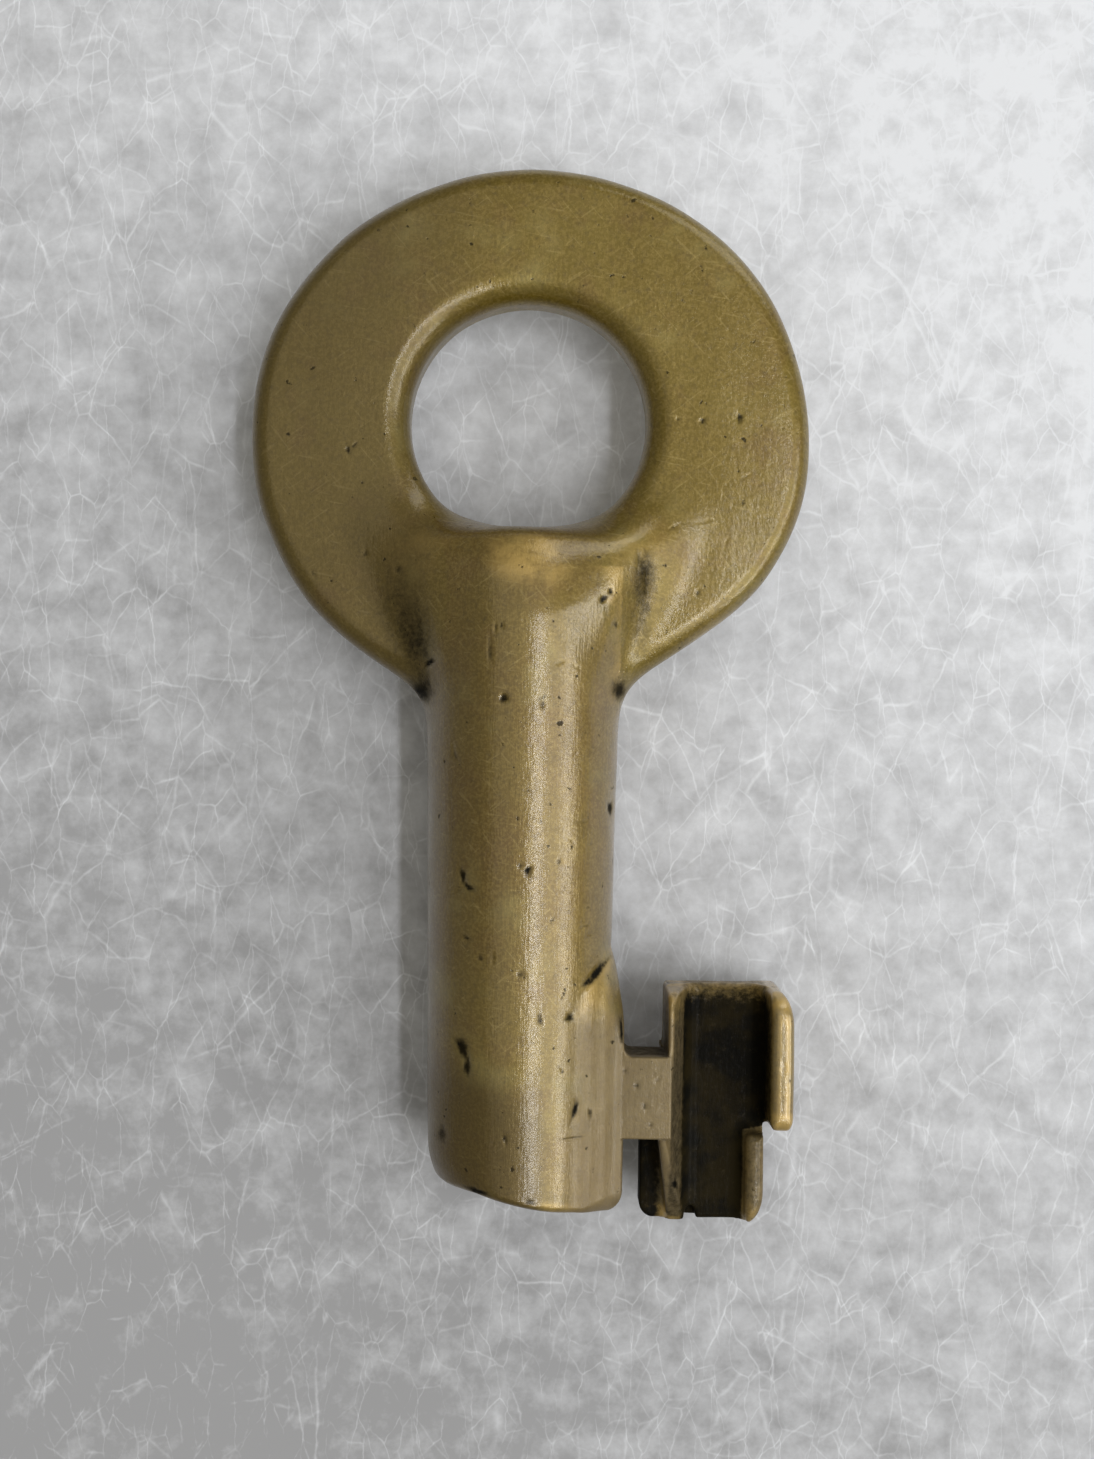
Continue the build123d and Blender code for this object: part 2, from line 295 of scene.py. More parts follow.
def bit_head(x, y, z):
    """The web and the channelled head: its full-width part, and below it the foot."""
    full = corner(x - head_right, y - head_top, 0.8, 1.8)
    full = np.maximum(full, corner(x - head_right, step - y, 0.35, 0.7))
    full = np.maximum(full, corner(head_left - x, y - head_top, 0.35, 0.4))
    foot = corner(x - foot_right, head_low - y, 0.95, 1.6)
    foot = np.maximum(foot, corner(foot_left - x, head_low - y, 0.8, 0.8))
    foot_top = y - step - 0.15 - 0.8 * ramp(x, 7.5, 8.2) * ramp(12.3 - x, 0, 0.7)
    foot = np.maximum(foot, foot_top)
    outline = joined(full, foot, 0.1)
    rolled = kept(y - head_top, z - channel_floor, 0.85)
    plate = np.maximum(kept(outline, bar(z, head_back, channel_floor), 0.18), rolled)

    lean = 0.29 + 0.13 * ramp(-y, -7, -2.9)
    channel = (x - channel_foot + lean * (z - channel_floor)) / np.hypot(1, lean)
    web = np.maximum(bar(x, web_root, 9), bar(y, web_low, web_high))
    front = joined(web, np.maximum(full, x - 9), 0.55)
    front = kept(kept(front, channel, 0.15), bar(z, tang_back, tang_front), 0.15)
    wall = kept(kept(full, channel, 0.15), bar(z, head_back, tang_front), 0.15)
    wall = kept(np.minimum(front, wall), corner(y - head_top, z - tang_front, 1.3, 1.6), 0.2)
    ridge_side = 7.0 + 0.14 * (web_low - y) - x
    ridge_top = 0.857 * (z - tang_front) + 0.514 * (web_low + 0.1 - y)
    ridge_top = np.maximum(np.maximum(ridge_top, z - tang_front), y - web_low - 1)
    ridge = kept(kept(ridge_side, channel, 0.1), ridge_top, 0.15)
    ridge = kept(np.maximum(ridge, foot), head_back - z, 0.2)
    inside = joined(plate, np.minimum(wall, ridge), 0.5)

    lip_top = 0.6 + 1.2 * np.sqrt(1 - np.clip((y - 8.8) / 1.4, 0, 0.99) ** 2)
    lip = bit_lip(x, z, full, lip_inner, lip_top)
    foot_lip = bit_lip(x, z, np.maximum(foot, y - 2.75), foot_lip_inner, foot_lip_front)
    notch = np.maximum(0.3 * (np.hypot((x - 8.85) / 0.3, (y + 1.75) / 0.6) - 1), -1.8 - z)
    head = joined(joined(inside, lip, 0.8), foot_lip, 0.6)
    head = np.maximum(head, np.minimum(outline, web))
    head = np.maximum(head, head_back - z)
    return kept(head, -notch, 0.1)


# Knocks in the bit, given as the barrel's are.
bit_knocks = [
    (6.3, 4.6, 1, 15, 0.2, 0.12, 0.1), (5.9, 5.6, 1, 0, 0.16, 0.12, 0.12),
    (6.9, 5.9, 1, -50, 0.18, 0.08, 0.08), (5.3, 6.3, 1, 0, 0.14, 0.12, 0.1),
    (6.6, 3.7, 1, 0, 0.12, 0.1, 0.1), (5.1, 8.3, 1, 4, 0.9, 0.1, 0.14),
    (8.0, 0.3, 1, 20, 0.4, 0.2, 0.2), (13.2, 6.5, 1, 0, 0.3, 0.14, 0.06),
    (10.5, 6.0, -1, 30, 0.7, 0.16, 0.12),
]


def bit_dirt_and_shade(x, y, z):
    """Black in the channel, where no finger has rubbed; black on the step's ledge, grime with
    painted shade; and painted shade in the nook above the web.
    """
    slope = np.maximum(0.62 * ramp(x, 7.4, 7.75), ramp(x, 8.0, 8.5))
    lip_edge = 12.75 - 1.1 * ramp(-y, -3.1, -2.8)
    channel = slope * ramp(lip_edge - x, 0, 0.3) * ramp(-z, -2.35, -2.0)
    channel = channel * (0.6 + 0.4 * ramp(-y, -10.2, -9.0)) * (y < 12)
    # The ledge lies deep under the web: its black is grime with painted shade.
    ledge = ramp(-y, -3.0, -2.7) * ramp(x, 5.9, 6.1) * ramp(-x, -7.9, -6.9)
    ledge = ledge * ramp(-z, -1.4, -0.6)
    foot_lip = 0.5 * ramp(-y, -3.3, -3.1) * ramp(x, 11.2, 11.6)
    # Painted shade in the nook between the tang, the web's top and the head.
    nook = 0.6 * ramp(-z, -2.1, -1.7) * ramp(x, 5.15, 5.3) * ramp(-x, -7.6, -7.4)
    nook = nook * ramp(y, 6.7, 6.95) * (y < 12)
    return np.maximum.reduce((channel, ledge, foot_lip, nook))


# Skin. Brazed, dressed and carried as one, the key has one skin that runs on over its
# joints. It is laid over all the forms together, and then parted into the five pieces.
grain = 0.12


def key_form(x, y, z):
    """Distance from the whole key, with a hand-worn waviness of a few hundredths."""
    rod = barrel_rod(x, y, z)
    rim = bow_rim(x, y)
    ring = hole_radius - np.hypot(x - hole_x, y - hole_y)
    form = melted(rod, bow_plate(z, rim, ring), bow_braze_size(z, rim, ring))
    form = melted(form, bit_tang(x, y, z), bit_braze_size(x, y, z))
    below = below_mouth(x, y, z)
    nose = 0.15 * np.maximum(1.65 + below, 0) ** 2 * ramp(-x, 0.5, 4.0)
    form = kept(form + nose, below, 0.2 + 0.2 * ramp(x, -3.5, -2.5) + 0.9 * ramp(x, 3.0, 5.2))
    web = np.maximum(bar(x, web_root, 7.65), bar(y, web_low, web_high))
    web = np.maximum(joined(tang_outline(x, y), web, 0.4), bar(y, web_low, 7.7))
    form = np.minimum(form, kept(web, bar(z, tang_back, tang_front), 0.1))
    form = np.minimum(form, bit_head(x, y, z))
    form = kept(form, -barrel_bore(x, y, z), 0.25)

    wave = np.sin(0.9 * x + 0.5 * y + 1.3 * z) * np.sin(0.45 * y - 1.1 * x + 0.8)
    wave += np.sin(0.8 * y + 0.9 * z + 2.1) * np.sin(0.7 * x + 1.9)
    return form + 0.012 * wave + 0.024


# Small knocks, scattered over the barrel, the bow and the web.
small_knocks = np.random.RandomState(7)
scattered = []
for low_x, high_x, low_y, high_y, count in (
    (-3.9, 3.9, 1.5, 28, 60), (-12, 12, 26, 50, 50), (5, 7.4, 3.2, 6.6, 8),
):
    for _ in range(count):
        x, y = small_knocks.uniform(low_x, high_x), small_knocks.uniform(low_y, high_y)
        face = 1 if small_knocks.rand() < 0.55 else -1
        length, width = small_knocks.uniform(0.08, 0.26), small_knocks.uniform(0.04, 0.08)
        depth, turn = small_knocks.uniform(0.02, 0.06), small_knocks.uniform(-90, 90)
        scattered.append((x, y, face, turn, length, width, depth))
knocks = barrel_knocks + bow_knocks + bit_knocks + scattered
knock_depth = 0.32


def knocked(x, y, z):
    """How deep the knocks are at each point, and how dark their bottoms are."""
    deep, dark = np.zeros(len(x)), np.zeros(len(x))
    for mark_x, mark_y, face, turn, length, width, depth in knocks:
        skin = z * face > (1.6 if face < 0 and mark_x > 7.5 else 0)
        reach = 1.6 * length + 0.2
        near = (np.abs(x - mark_x) < reach) & (np.abs(y - mark_y) < reach) & skin
        near = np.nonzero(near)[0]
        u, v = x[near] - mark_x, y[near] - mark_y
        c, s = cos(radians(turn)), sin(radians(turn))
        u, v = (u * c + v * s) / width, (v * c - u * s) / length
        way = np.arctan2(u, v)
        ragged = 1 + 0.22 * np.sin(3 * way + 9 * mark_x) + 0.16 * np.sin(5 * way + 7 * mark_y)
        spot = np.exp(-((u * u + v * v) * ragged) ** 1.25)
        deep[near] += knock_depth * depth * spot
        dark[near] = np.maximum(dark[near], spot * min(1, depth / 0.15))
    return deep, dark


def worn_form(x, y, z):
    """Distance from the key with its knocks."""
    return key_form(x, y, z) + knocked(x, y, z)[0]


bow_part, barrel_part, bit_part, bow_braze_part, bit_braze_part = range(1, 6)


def part_of(x, y, z):
    """Which of the five pieces the metal at a point belongs to."""
    off_rod = np.hypot(x, z) > np.minimum(mouth_radius + taper * y, barrel_radius)
    in_slot = (np.abs(z) < bow_half) & ((y > slot_floor) | (y > 20) & off_rod)
    in_groove = (x > groove_floor) & (z > tang_back) & (z < tang_front)
    part = np.where(off_rod, np.where(y > 20, bow_braze_part, bit_braze_part), barrel_part)
    part = np.where(in_groove & (y < bit_braze_top), bit_braze_part, part)
    part = np.where((in_groove & (y < tang_top) | (x > tang_side)) & (y < 20), bit_part, part)
    return np.where(in_slot, bow_part, part)


low_corner = np.array((-14.4, -2.5, -5.1))
high_corner = np.array((14.8, 51.6, 5.1))
counts = np.ceil((high_corner - low_corner) / grain).astype(int) + 1
field = np.empty(counts, np.float32)
part = np.zeros(counts, np.int8)
axis_x, axis_y, axis_z = (
    (low_corner[i] + grain * np.arange(counts[i])).astype(np.float32) for i in range(3)
)
for start in range(0, counts[0], 12):
    rows = slice(start, start + 12)
    grid = np.broadcast_arrays(axis_x[rows, None, None], axis_y[:, None], axis_z)
    field[rows] = key_form(*grid)
    part[rows] = np.where(field[rows] < 0, part_of(*grid), 0)

# Just under the skin, a point belongs to the piece that lies a little deeper, so that no
# piece is left as a film on another.
deep = 2.5 * grain
shallow = np.argwhere((field < 0) & (field > -deep))
near = tuple(shallow.T)
slope = np.stack([
    field[tuple((shallow + way).T)] - field[tuple((shallow - way).T)]
    for way in np.eye(3, dtype=int)
], 1)
slope /= np.maximum(np.linalg.norm(slope, axis=1), 1e-9)[:, None]
deeper = shallow * grain + low_corner - slope * (field[near] + deep)[:, None]
part[near] = part_of(*deeper.T)

# Each crossing between two grid points puts one face between the four cells round it,
# and each cell's corner point lies at the mean of the crossings on its edges.
quads, owners, others, spots = [], [], [], []
step_of = np.array((counts[1] * counts[2], counts[2], 1))
for axis in range(3):
    near = tuple(slice(0, -1) if i == axis else slice(1, -1) for i in range(3))
    far = tuple(slice(1, None) if i == axis else slice(1, -1) for i in range(3))
    where = np.argwhere(part[near] != part[far])
    where += np.array([0 if i == axis else 1 for i in range(3)])
    here = tuple(where.T)
    there = tuple((where + np.eye(3, dtype=int)[axis]).T)
    inner, outer = part[here], part[there]
    open_air = (inner == 0) | (outer == 0)
    share = field[here] / (field[here] - field[there] + 1e-9)
    spot = where.astype(float)
    spot[:, axis] += np.where(open_air, share, 0.5)
    cell = where @ step_of
    across, along = step_of[(axis + 1) % 3], step_of[(axis + 2) % 3]
    quads.append(np.stack((cell - across - along, cell - along, cell, cell - across), 1))
    owners.append(inner)
    others.append(outer)
    spots.append(np.column_stack((spot, open_air)))
quads, owners, others, spots = map(np.concatenate, (quads, owners, others, spots))
cells, quads = np.unique(quads, return_inverse=True)
quads = quads.reshape(-1, 4)
open_air = spots[:, 3]


def cell_mean(weight):
    """The weighted mean of the crossings round each cell, and which cells have any."""
    total = np.bincount(quads.ravel(), np.repeat(weight, 4), len(cells))
    sums = [
        np.bincount(quads.ravel(), np.repeat(weight * spots[:, i], 4), len(cells))
        for i in range(3)
    ]
    return np.stack(sums, 1) / np.maximum(total, 1)[:, None], total > 0


buried_points, _ = cell_mean(np.ones(len(spots)))
skin_points, on_skin = cell_mean(open_air)
points = np.where(on_skin[:, None], skin_points, buried_points) * grain + low_corner


def lean_of(p, reach):
    """The outward direction at each point."""
    ways = np.array(((1, -1, -1), (-1, -1, 1), (-1, 1, -1), (1, 1, 1)))
    total = sum(way * worn_form(*(p + reach * way).T)[:, None] for way in ways)
    return total / np.maximum(np.linalg.norm(total, axis=1), 1e-9)[:, None]


# Points on the skin are drawn on to the worn form, and the buried ones kept under it.
surface = points[on_skin]
for _ in range(2):
    lean = lean_of(surface, 0.03)
    surface = surface - lean * np.clip(worn_form(*surface.T), -2 * grain, 2 * grain)[:, None]
lean = lean_of(surface, 0.04)
points[on_skin] = surface
buried = points[~on_skin]
short = np.maximum(worn_form(*buried.T) + 0.06, 0)
points[~on_skin] = buried - lean_of(buried, 0.05) * short[:, None]
leans = np.zeros((len(points), 3))
leans[on_skin] = lean
tarnish_and_painted_shade, wear_and_painted_highlight, dirt_and_painted_shade, scuff, shine = np.zeros((5, len(points)))
# Tarnish darkens the hollows; painted shade is added to this mark below.
tarnish_and_painted_shade[on_skin] = 1.2 - worn_form(*(surface + 1.2 * lean).T)
# Wear brightens the edges; painted highlights are added to this mark below.
wear_and_painted_highlight[on_skin] = 0.6 + worn_form(*(surface - 0.6 * lean).T)

# Dirt has stayed in the bore, the channel, the knocks, and the valleys by the cheeks. The same mark
# carries painted shade on the bit's ledge and in the nook above its web.
x, y, z = surface.T
bore_dirt = ramp(-np.hypot(x, z), -3.35, -3.1) * ramp(-y, -23, -22)
valley_dirt = sum(
    weight * np.exp(-((x - at_x) / wide) ** 2 - ((y - at_y) / tall) ** 2) * (z * face > 0.5)
    for at_x, at_y, wide, tall, weight, face in (
        (-6.3, 29.3, 1.5, 2.4, 0.5, 1), (-5.2, 27.0, 1.0, 1.8, 0.6, 1),
        (5.9, 30.8, 0.75, 1.5, 0.64, 1), (-5.0, 24.8, 0.7, 0.7, 0.8, 1),
        (4.75, 25.0, 0.5, 0.6, 0.9, 1), (-8.4, 32.5, 1.6, 1.6, 0.25, 1),
        (4.9, 8.4, 0.25, 1.0, 0.4, 1), (5.7, 28.2, 0.8, 2.2, 0.42, 1),
        (4.6, 10.3, 0.35, 1.0, 0.4, 1), (4.1, 28.8, 0.5, 1.0, 0.3, 1),
        (-4.9, 34.4, 0.5, 0.7, 0.25, 1), (5.6, 29.5, 1.0, 2.5, 0.7, -1),
        (-5.6, 29.0, 1.1, 2.6, 0.7, -1),
    )
)
dirt_and_shade_sources = bore_dirt, bit_dirt_and_shade(x, y, z), valley_dirt, knocked(x, y, z)[1]
dirt_and_painted_shade[on_skin] = np.clip(np.maximum.reduce(dirt_and_shade_sources), 0, 1)

# The tang, the web and the foot's lip are scuffed grey by the lock.
on_tang = ramp(x, 1.8, 3.4) * ramp(-y, -10.5, -8) * (z > -0.5) * ramp(-x, -8.6, -8.2)
on_foot_lip = 0.5 * ramp(-y, -3.3, -3.1) * ramp(x, 11.2, 11.6) * (y < 12)
scuff[on_skin] = np.maximum(on_tang, on_foot_lip)

# Fingers have rubbed the edges bright, and the cheeks' ends. Painted highlights in the rubbed
# colour are laid on the arch of the cheeks' ends and faintly on the crest, and painted light on the
# barrel's bit side, which faces the lamps.
at_mouth = np.exp(-(below_mouth(x, y, z) / 0.7) ** 2) * (x < 5.4)
wear_and_painted_highlight[on_skin] *= (1 - 0.8 * scuff[on_skin]) * (1 - 0.7 * at_mouth)
wear_and_painted_highlight[on_skin] += 0.29 * np.exp(-(x / 2.8) ** 2 - ((y - 31.4) / 1.4) ** 2) * (z > 2)
wear_and_painted_highlight[on_skin] += 0.09 * ramp(x, 0.0, 2.5) * (y < 31) * (np.abs(x) < 4.8) * (z > 0)
on_crest = np.exp(-(x / 3) ** 2) * ramp(y, 26.0, 28.0) * ramp(-y, -32, -30) * (z > 2)
wear_and_painted_highlight[on_skin] += 0.05 * on_crest

# Painted shade: the side away from the bit is coloured darker, as if in shade. The barrel is also
# coloured darker towards the mouth, away from the bit side.
tarnish_and_painted_shade[on_skin] += 0.75 * ramp(-x, -2, 9) + 0.3 * ramp(-x, -0.5, 3)
tarnish_and_painted_shade[on_skin] += 1.1 * ramp(-y, -8, -4) * ramp(-x, -2.4, -0.5)

# The barrel is polished, and so is a patch of the bow's right flank, which is also given a painted
# sheen in the rubbed colour; the rest is duller.
polish_and_painted_sheen = np.exp(-((x - 9.2) / 2.8) ** 2 - ((y - 28.4) / 2.6) ** 2)
polish_and_painted_sheen = polish_and_painted_sheen * (z > 0) * ramp(x, 6.6, 8.4)
wear_and_painted_highlight[on_skin] += 0.1 * polish_and_painted_sheen
off_barrel = np.maximum(ramp(np.abs(x), 3.8, 6.2), ramp(y, 30.5, 33)) * (y > 20)
shine[on_skin] = (1 - 0.45 * off_barrel + 0.3 * polish_and_painted_sheen) * (1 - 0.75 * scuff[on_skin])
shine[on_skin] *= 1 - 0.5 * ramp(-y, -9, -4) * ramp(-x, -1.4, 0.2)

skin_marks = {"wear_and_painted_highlight": wear_and_painted_highlight, "tarnish_and_painted_shade": tarnish_and_painted_shade, "dirt_and_painted_shade": dirt_and_painted_shade, "scuff": scuff, "shine": shine}


def part_mesh(name, which):
    """A closed mesh of one piece, cut out of the skin."""
    own = owners == which
    back = others == which
    faces = np.concatenate((quads[own], quads[back][:, ::-1]))
    seen = np.concatenate((open_air[own], open_air[back])) > 0
    used, faces = np.unique(faces, return_inverse=True)
    faces = faces.reshape(-1, 4)
    mesh = bpy.data.meshes.new(name)
    mesh.vertices.add(len(used))
    mesh.vertices.foreach_set("co", (points[used] * 0.001).astype(np.float32).ravel())
    mesh.loops.add(faces.size)
    mesh.loops.foreach_set("vertex_index", faces.astype(np.int32).ravel())
    mesh.polygons.add(len(faces))
    mesh.polygons.foreach_set("loop_start", np.arange(0, faces.size, 4, dtype=np.int32))
    mesh.update(calc_edges=True)
    mesh.polygons.foreach_set("use_smooth", np.ones(len(faces), bool))
    for label, values in skin_marks.items():
        layer = mesh.attributes.new(label, "FLOAT", "POINT")
        layer.data.foreach_set("value", values[used].astype(np.float32))
    mesh.normals_split_custom_set(leans[used][faces.ravel()] * np.repeat(seen, 4)[:, None])
    return mesh


def paint(*chart):
    """A colour as a paint chart gives it, as light."""
    light = (c / 255 / 12.92 if c < 11 else ((c / 255 + 0.055) / 1.055) ** 2.4 for c in chart)
    return (*light, 1)


def worn_brass(name, streak, dull, olive):
    """Old brass: a brown and olive skin over yellow metal, dark in hollows, bright on edges, with
    painted shade and painted highlights laid on from the skin's marks.
    """
    material = bpy.data.materials.new(name)
    material.use_nodes = True
    nodes, links = material.node_tree.nodes, material.node_tree.links
    shader = nodes["Principled BSDF"]
    shader.inputs["Coat Roughness"].default_value = 0.145
    shader.inputs["Coat IOR"].default_value = 1.6
    place = nodes.new("ShaderNodeTexCoord").outputs["Object"]

    def stretched(scale, turn=0.0):
        """The place on the piece, in steps of another size along each way."""
        node = nodes.new("ShaderNodeMapping")
        node.vector_type = "TEXTURE"
        node.inputs["Scale"].default_value = tuple(1 / size for size in scale)
        node.inputs["Rotation"].default_value = (0, 0, turn)
        links.new(place, node.inputs["Vector"])
        return node.outputs["Vector"]

    def noise(scale, detail=4.0, roughness=0.55, vector=place):
        """A value that wanders over the piece."""
        node = nodes.new("ShaderNodeTexNoise")
        node.inputs["Scale"].default_value = scale
        node.inputs["Detail"].default_value = detail
        node.inputs["Roughness"].default_value = roughness
        links.new(vector, node.inputs["Vector"])
        return node.outputs["Fac"]

    def spread(source, low, high, to_low=0.0, to_high=1.0):
        """A smooth rise from to_low to to_high, while the source goes from low to high."""
        node = nodes.new("ShaderNodeMapRange")
        node.interpolation_type = "SMOOTHSTEP"
        links.new(source, node.inputs["Value"])
        ends = {"From Min": low, "From Max": high, "To Min": to_low, "To Max": to_high}
        for label, value in ends.items():
            node.inputs[label].default_value = value
        return node.outputs["Result"]

    def combined(kind, first, second):
        """Two values added, multiplied or compared, where either may be a plain number."""
        node = nodes.new("ShaderNodeMath")
        node.operation = kind
        for socket, value in zip(node.inputs, (first, second)):
            if isinstance(value, float):
                socket.default_value = value
            else:
                links.new(value, socket)
        return node.outputs["Value"]

    def attribute(label):
        """One of the marks that are kept with the skin."""
        node = nodes.new("ShaderNodeAttribute")
        node.attribute_name = label
        return node.outputs["Fac"]

    def mixed(share, first, second):
        """A share of the second colour laid over the first."""
        node = nodes.new("ShaderNodeMix")
        node.data_type = "RGBA"
        links.new(share, node.inputs["Factor"])
        for socket, value in ((node.inputs["A"], first), (node.inputs["B"], second)):
            if isinstance(value, tuple):
                socket.default_value = value
            else:
                links.new(value, socket)
        return node.outputs["Result"]

    # The skin: brown blotches, pale olive bloom, dark and bright grain, and hairlines.
    colour = mixed(spread(noise(170), 0.35, 0.65), paint(*dull), paint(*olive))
    for scale, detail, roughness, low, high, share, tone in (
        (420, 6, 0.62, 0.48, 0.72, 0.6, (108, 82, 32)),
        (260, 5, 0.6, 0.52, 0.74, 0.55, (148, 136, 80)),
        (2600, 6, 0.7, 0.48, 0.75, 0.5, (80, 66, 32)),
        (6500, 3, 0.6, 0.42, 0.62, 0.35, (152, 130, 66)),
    ):
        patches = spread(noise(scale, detail, roughness), low, high, 0, share)
        colour = mixed(patches, colour, paint(*tone))
    for turn in (0.7, 2.2, 1.4):
        hairs = noise(1, 2, 0.5, stretched((7000, 500, 2500), turn))
        colour = mixed(spread(hairs, 0.64, 0.74, 0, 0.3), colour, paint(170, 150, 92))

    # Rubbed high places and painted highlights, tarnished hollows and painted shade, grey scuffs,
    # black dirt with painted shade, and specks.
    rubbed_and_highlight = spread(attribute("wear_and_painted_highlight"), 0.04, 0.26)
    rubbed_and_highlight = combined("MULTIPLY", rubbed_and_highlight, spread(noise(900, 5, 0.6), 0.32, 0.6, 0.2, 0.9))
    colour = mixed(rubbed_and_highlight, colour, paint(196, 164, 92))
    tarnish_and_shade_share = spread(attribute("tarnish_and_painted_shade"), 0.25, 1.3, 0, 0.6)
    colour = mixed(tarnish_and_shade_share, colour, paint(74, 60, 30))
    scuff = attribute("scuff")
    colour = mixed(combined("MULTIPLY", scuff, 0.6), colour, paint(116, 103, 82))
    speck = spread(noise(1900, 3, 0.5), 0.68, 0.75, 0, 0.8)
    uneven = spread(noise(2400, 7, 0.75), 0.25, 0.75, -0.17, 0.17)
    dirt_and_shade = spread(combined("ADD", attribute("dirt_and_painted_shade"), uneven), 0.15, 0.95)
    dirt_and_shade = combined("MULTIPLY", dirt_and_shade, spread(attribute("dirt_and_painted_shade"), 0.02, 0.2))
    dirt_and_shade = combined("MAXIMUM", dirt_and_shade, speck)
    soot_and_shade_tone = mixed(spread(noise(500, 4, 0.6), 0.4, 0.65), paint(15, 14, 10), paint(36, 30, 14))
    colour = mixed(dirt_and_shade, colour, soot_and_shade_tone)
    links.new(colour, shader.inputs["Base Color"])

    # The polish of many hands lies over the metal, but not where dirt and painted shade are laid.
    metal = combined("SUBTRACT", 0.55, combined("MULTIPLY", dirt_and_shade, 0.4))
    coat = combined("SUBTRACT", 1.0, combined("MULTIPLY", dirt_and_shade, 0.97))
    specular = combined("SUBTRACT", 0.5, combined("MULTIPLY", dirt_and_shade, 0.45))
    links.new(metal, shader.inputs["Metallic"])
    links.new(combined("MULTIPLY", coat, attribute("shine")), shader.inputs["Coat Weight"])
    links.new(specular, shader.inputs["Specular IOR Level"])
    rough = spread(noise(800, 6, 0.65), 0.3, 0.7, 0.36, 0.48)
    rough = combined("ADD", combined("MULTIPLY", scuff, 0.16), rough)
    rough = combined("ADD", rough, combined("MULTIPLY", dirt_and_shade, 0.3))
    links.new(rough, shader.inputs["Roughness"])

    # A fine tooth, drawn out along the way that each piece was rubbed.
    drawn = noise(1, 4, 0.6, stretched(streak))
    tooth = combined("ADD", noise(5200, 4, 0.65), combined("MULTIPLY", drawn, 1.2))
    tooth = combined("ADD", tooth, combined("MULTIPLY", noise(1400, 4, 0.6), 1.5))
    tooth = combined("SUBTRACT", tooth, speck)
    for socket, depth in (("Normal", 0.000018), ("Coat Normal", 0.000014)):
        bump = nodes.new("ShaderNodeBump")
        bump.inputs["Strength"].default_value = 0.7
        bump.inputs["Distance"].default_value = depth
        links.new(tooth, bump.inputs["Height"])
        links.new(bump.outputs["Normal"], shader.inputs[socket])
    return material


for name, which, slot, streak, tones in (
    ("bow", bow_part, "bow_brass", bow_streak, bow_tones),
    ("barrel", barrel_part, "barrel_brass", barrel_streak, barrel_tones),
    ("bit", bit_part, "bit_brass", bit_streak, bit_tones),
    ("bow_braze", bow_braze_part, "braze_filler", bow_braze_streak, bow_braze_tones),
    ("bit_braze", bit_braze_part, "braze_filler", bit_braze_streak, bit_braze_tones),
):
    mesh = part_mesh("worn_" + name, which)
    piece = bpy.data.objects.new("worn_" + name, mesh)
    bpy.context.scene.collection.objects.link(piece)
    mesh.materials.append(worn_brass("worn_brass_" + name, streak, *tones))
    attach(piece, "root")
    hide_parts(name)

# Table. It is laid with pale batting, a white felt of crossed fibres, and the key lies on
# it with the barrel's back down. Its colour is painted lighter towards the window's corner, a
# painted pool of light.
table_top = -0.00485
table_corners = [(side, end, table_top) for side, end in ((-1, -1), (1, -1), (1, 1), (-1, 1))]
floor_mesh = bpy.data.meshes.new("table")
floor_mesh.from_pydata(table_corners, [], [(0, 1, 2, 3)])
floor = bpy.data.objects.new("table", floor_mesh)
bpy.context.scene.collection.objects.link(floor)
felt = bpy.data.materials.new("pale_batting")
felt.use_nodes = True
felt_nodes, felt_links = felt.node_tree.nodes, felt.node_tree.links
felt_shader = felt_nodes["Principled BSDF"]
felt_place = felt_nodes.new("ShaderNodeTexCoord").outputs["Object"]
felt_shader.inputs["Roughness"].default_value = 0.95
felt_shader.inputs["Specular IOR Level"].default_value = 0.15


def felt_noise(scale, detail, roughness=0.6):
    """Tufts of one size."""
    node = felt_nodes.new("ShaderNodeTexNoise")
    node.inputs["Scale"].default_value = scale
    node.inputs["Detail"].default_value = detail
    node.inputs["Roughness"].default_value = roughness
    felt_links.new(felt_place, node.inputs["Vector"])
    return node


def felt_share(source, low, high, to_low, to_high):
    """A straight rise from to_low to to_high, while the source goes from low to high."""
    node = felt_nodes.new("ShaderNodeMapRange")
    felt_links.new(source, node.inputs["Value"])
    ends = {"From Min": low, "From Max": high, "To Min": to_low, "To Max": to_high}
    for label, value in ends.items():
        node.inputs[label].default_value = value
    return node.outputs["Result"]


def felt_combined(kind, first, second):
    """Two values of the felt added or multiplied."""
    node = felt_nodes.new("ShaderNodeMath")
    node.operation = kind
    felt_links.new(first, node.inputs[0])
    felt_links.new(second, node.inputs[1])
    return node.outputs["Value"]


def fibres(scale, turn, sway, thickness):
    """A web of thin bright fibres."""
    bend = felt_nodes.new("ShaderNodeVectorMath")
    bend.operation = "MULTIPLY_ADD"
    felt_links.new(felt_noise(scale * 0.7, 3).outputs["Color"], bend.inputs[0])
    bend.inputs[1].default_value = (sway, sway, 0)
    felt_links.new(felt_place, bend.inputs[2])
    place = felt_nodes.new("ShaderNodeMapping")
    place.inputs["Rotation"].default_value = (0, 0, turn)
    place.inputs["Scale"].default_value = (1, 0.45, 1)
    felt_links.new(bend.outputs["Vector"], place.inputs["Vector"])
    web = felt_nodes.new("ShaderNodeTexVoronoi")
    web.feature = "DISTANCE_TO_EDGE"
    web.inputs["Scale"].default_value = scale
    felt_links.new(place.outputs["Vector"], web.inputs["Vector"])
    return felt_share(web.outputs["Distance"], 0, thickness, 1, 0)


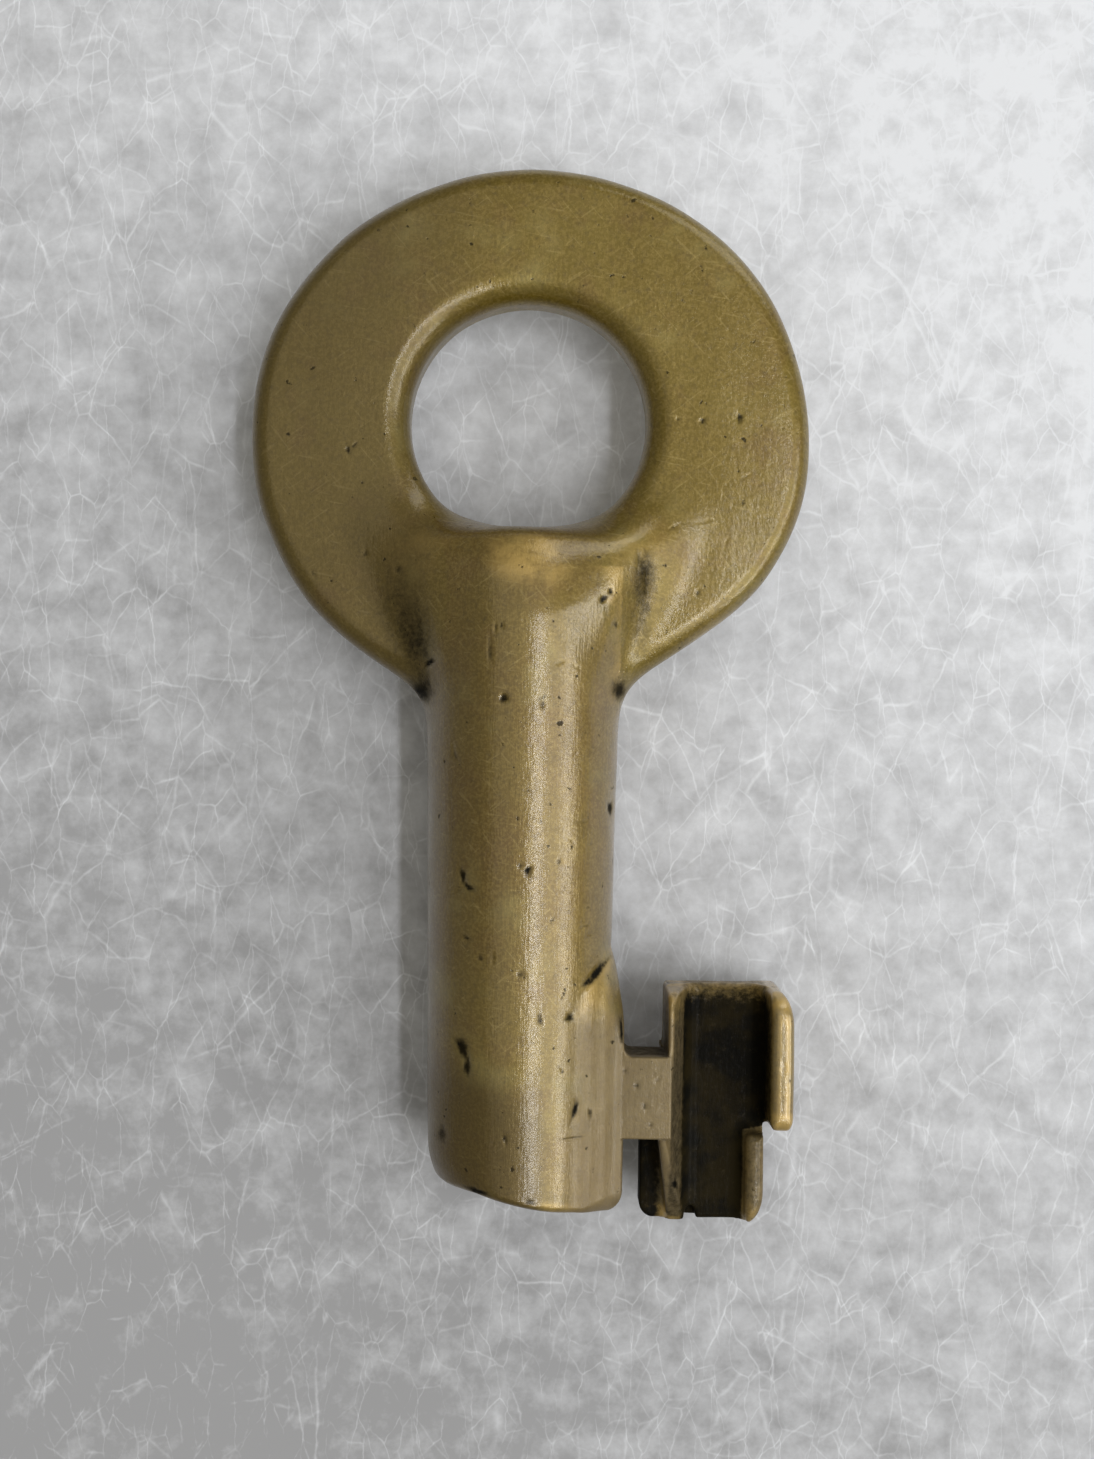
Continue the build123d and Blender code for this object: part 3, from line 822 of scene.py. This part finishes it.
fluff = felt_share(felt_noise(420, 8, 0.68).outputs["Fac"], 0.3, 0.7, 0, 0.6)
for scale, turn, sway, thickness in (
    (380, 0.3, 0.0012, 0.018), (620, 1.5, 0.001, 0.025), (500, 2.5, 0.0012, 0.02),
):
    patchy = felt_share(felt_noise(scale * 0.9, 2).outputs["Fac"], 0.35, 0.7, 0, 0.35)
    web = felt_combined("MULTIPLY", fibres(scale, turn, sway, thickness), patchy)
    fluff = felt_combined("ADD", fluff, web)
# Painted light: the felt's colour is made lighter towards the window's corner.
far_corner = felt_nodes.new("ShaderNodeVectorMath")
far_corner.operation = "DOT_PRODUCT"
felt_links.new(felt_place, far_corner.inputs[0])
far_corner.inputs[1].default_value = (0.7, 0.71, 0)
painted_window_light = felt_share(far_corner.outputs["Value"], -0.02, 0.055, -0.35, 0.62)
fluff = felt_combined("ADD", fluff, painted_window_light)
felt_colour = felt_nodes.new("ShaderNodeMix")
felt_colour.data_type = "RGBA"
felt_colour.inputs["A"].default_value = paint(166, 167, 172)
felt_colour.inputs["B"].default_value = paint(238, 241, 249)
felt_links.new(fluff, felt_colour.inputs["Factor"])
felt_links.new(felt_colour.outputs["Result"], felt_shader.inputs["Base Color"])
floor_mesh.materials.append(felt)

# Light and camera. A soft room with a pale sky and two tall panes to the right, whose
# edges draw the two streaks on the barrel, and the camera straight over the key.
world = bpy.data.worlds.new("soft_room")
bpy.context.scene.world = world
world.use_nodes = True
room = world.node_tree.nodes["Background"]
room.inputs["Color"].default_value = (1.0, 0.96, 0.82, 1)
room.inputs["Strength"].default_value = 0.25


def lamp(name, glow, size, way, distance, colour):
    """A soft box: how bright it looks, how wide and long it is, and its way from the key."""
    light = bpy.data.lights.new(name, "AREA")
    light.shape = "RECTANGLE"
    light.size, light.size_y = size
    light.energy = glow * np.pi * size[0] * size[1]
    light.color = colour
    holder = bpy.data.objects.new(name, light)
    bpy.context.scene.collection.objects.link(holder)
    way = Vector(way).normalized()
    along = (Vector((0, 1, 0)) - way * way.y).normalized()
    holder.location = way * distance + Vector((0, 0.02, 0))
    holder.rotation_euler = Matrix((along.cross(way), along, way)).transposed().to_euler()


lamp("near_pane", 21.0, (0.024, 0.4), (0.31, -0.18, 0.95), 0.5, (1.0, 1.0, 1.0))
lamp("far_pane", 8.0, (0.036, 0.4), (0.86, -0.25, 0.56), 0.5, (1.0, 0.99, 0.95))
lamp("sky", 1.5, (0.42, 0.4), (0.74, -0.2, 0.7), 0.5, (1.0, 1.0, 0.97))
lamp("window", 2.0, (0.16, 0.08), (0.5, 0.8, 0.42), 0.22, (0.96, 0.98, 1.0))
lamp("ceiling", 0.4, (0.6, 0.6), (-0.05, 0.05, 1.0), 0.5, (1.0, 0.95, 0.84))

camera = bpy.data.cameras.new("camera")
camera.lens = 41.6
camera.sensor_width = 36
camera.clip_start = 0.001
holder = bpy.data.objects.new("camera", camera)
bpy.context.scene.collection.objects.link(holder)
holder.location = (0.001222, 0.02302, 0.085)
holder.rotation_euler = (0, 0, 0.0152)
bpy.context.scene.camera = holder
bpy.context.scene.view_settings.view_transform = "Standard"
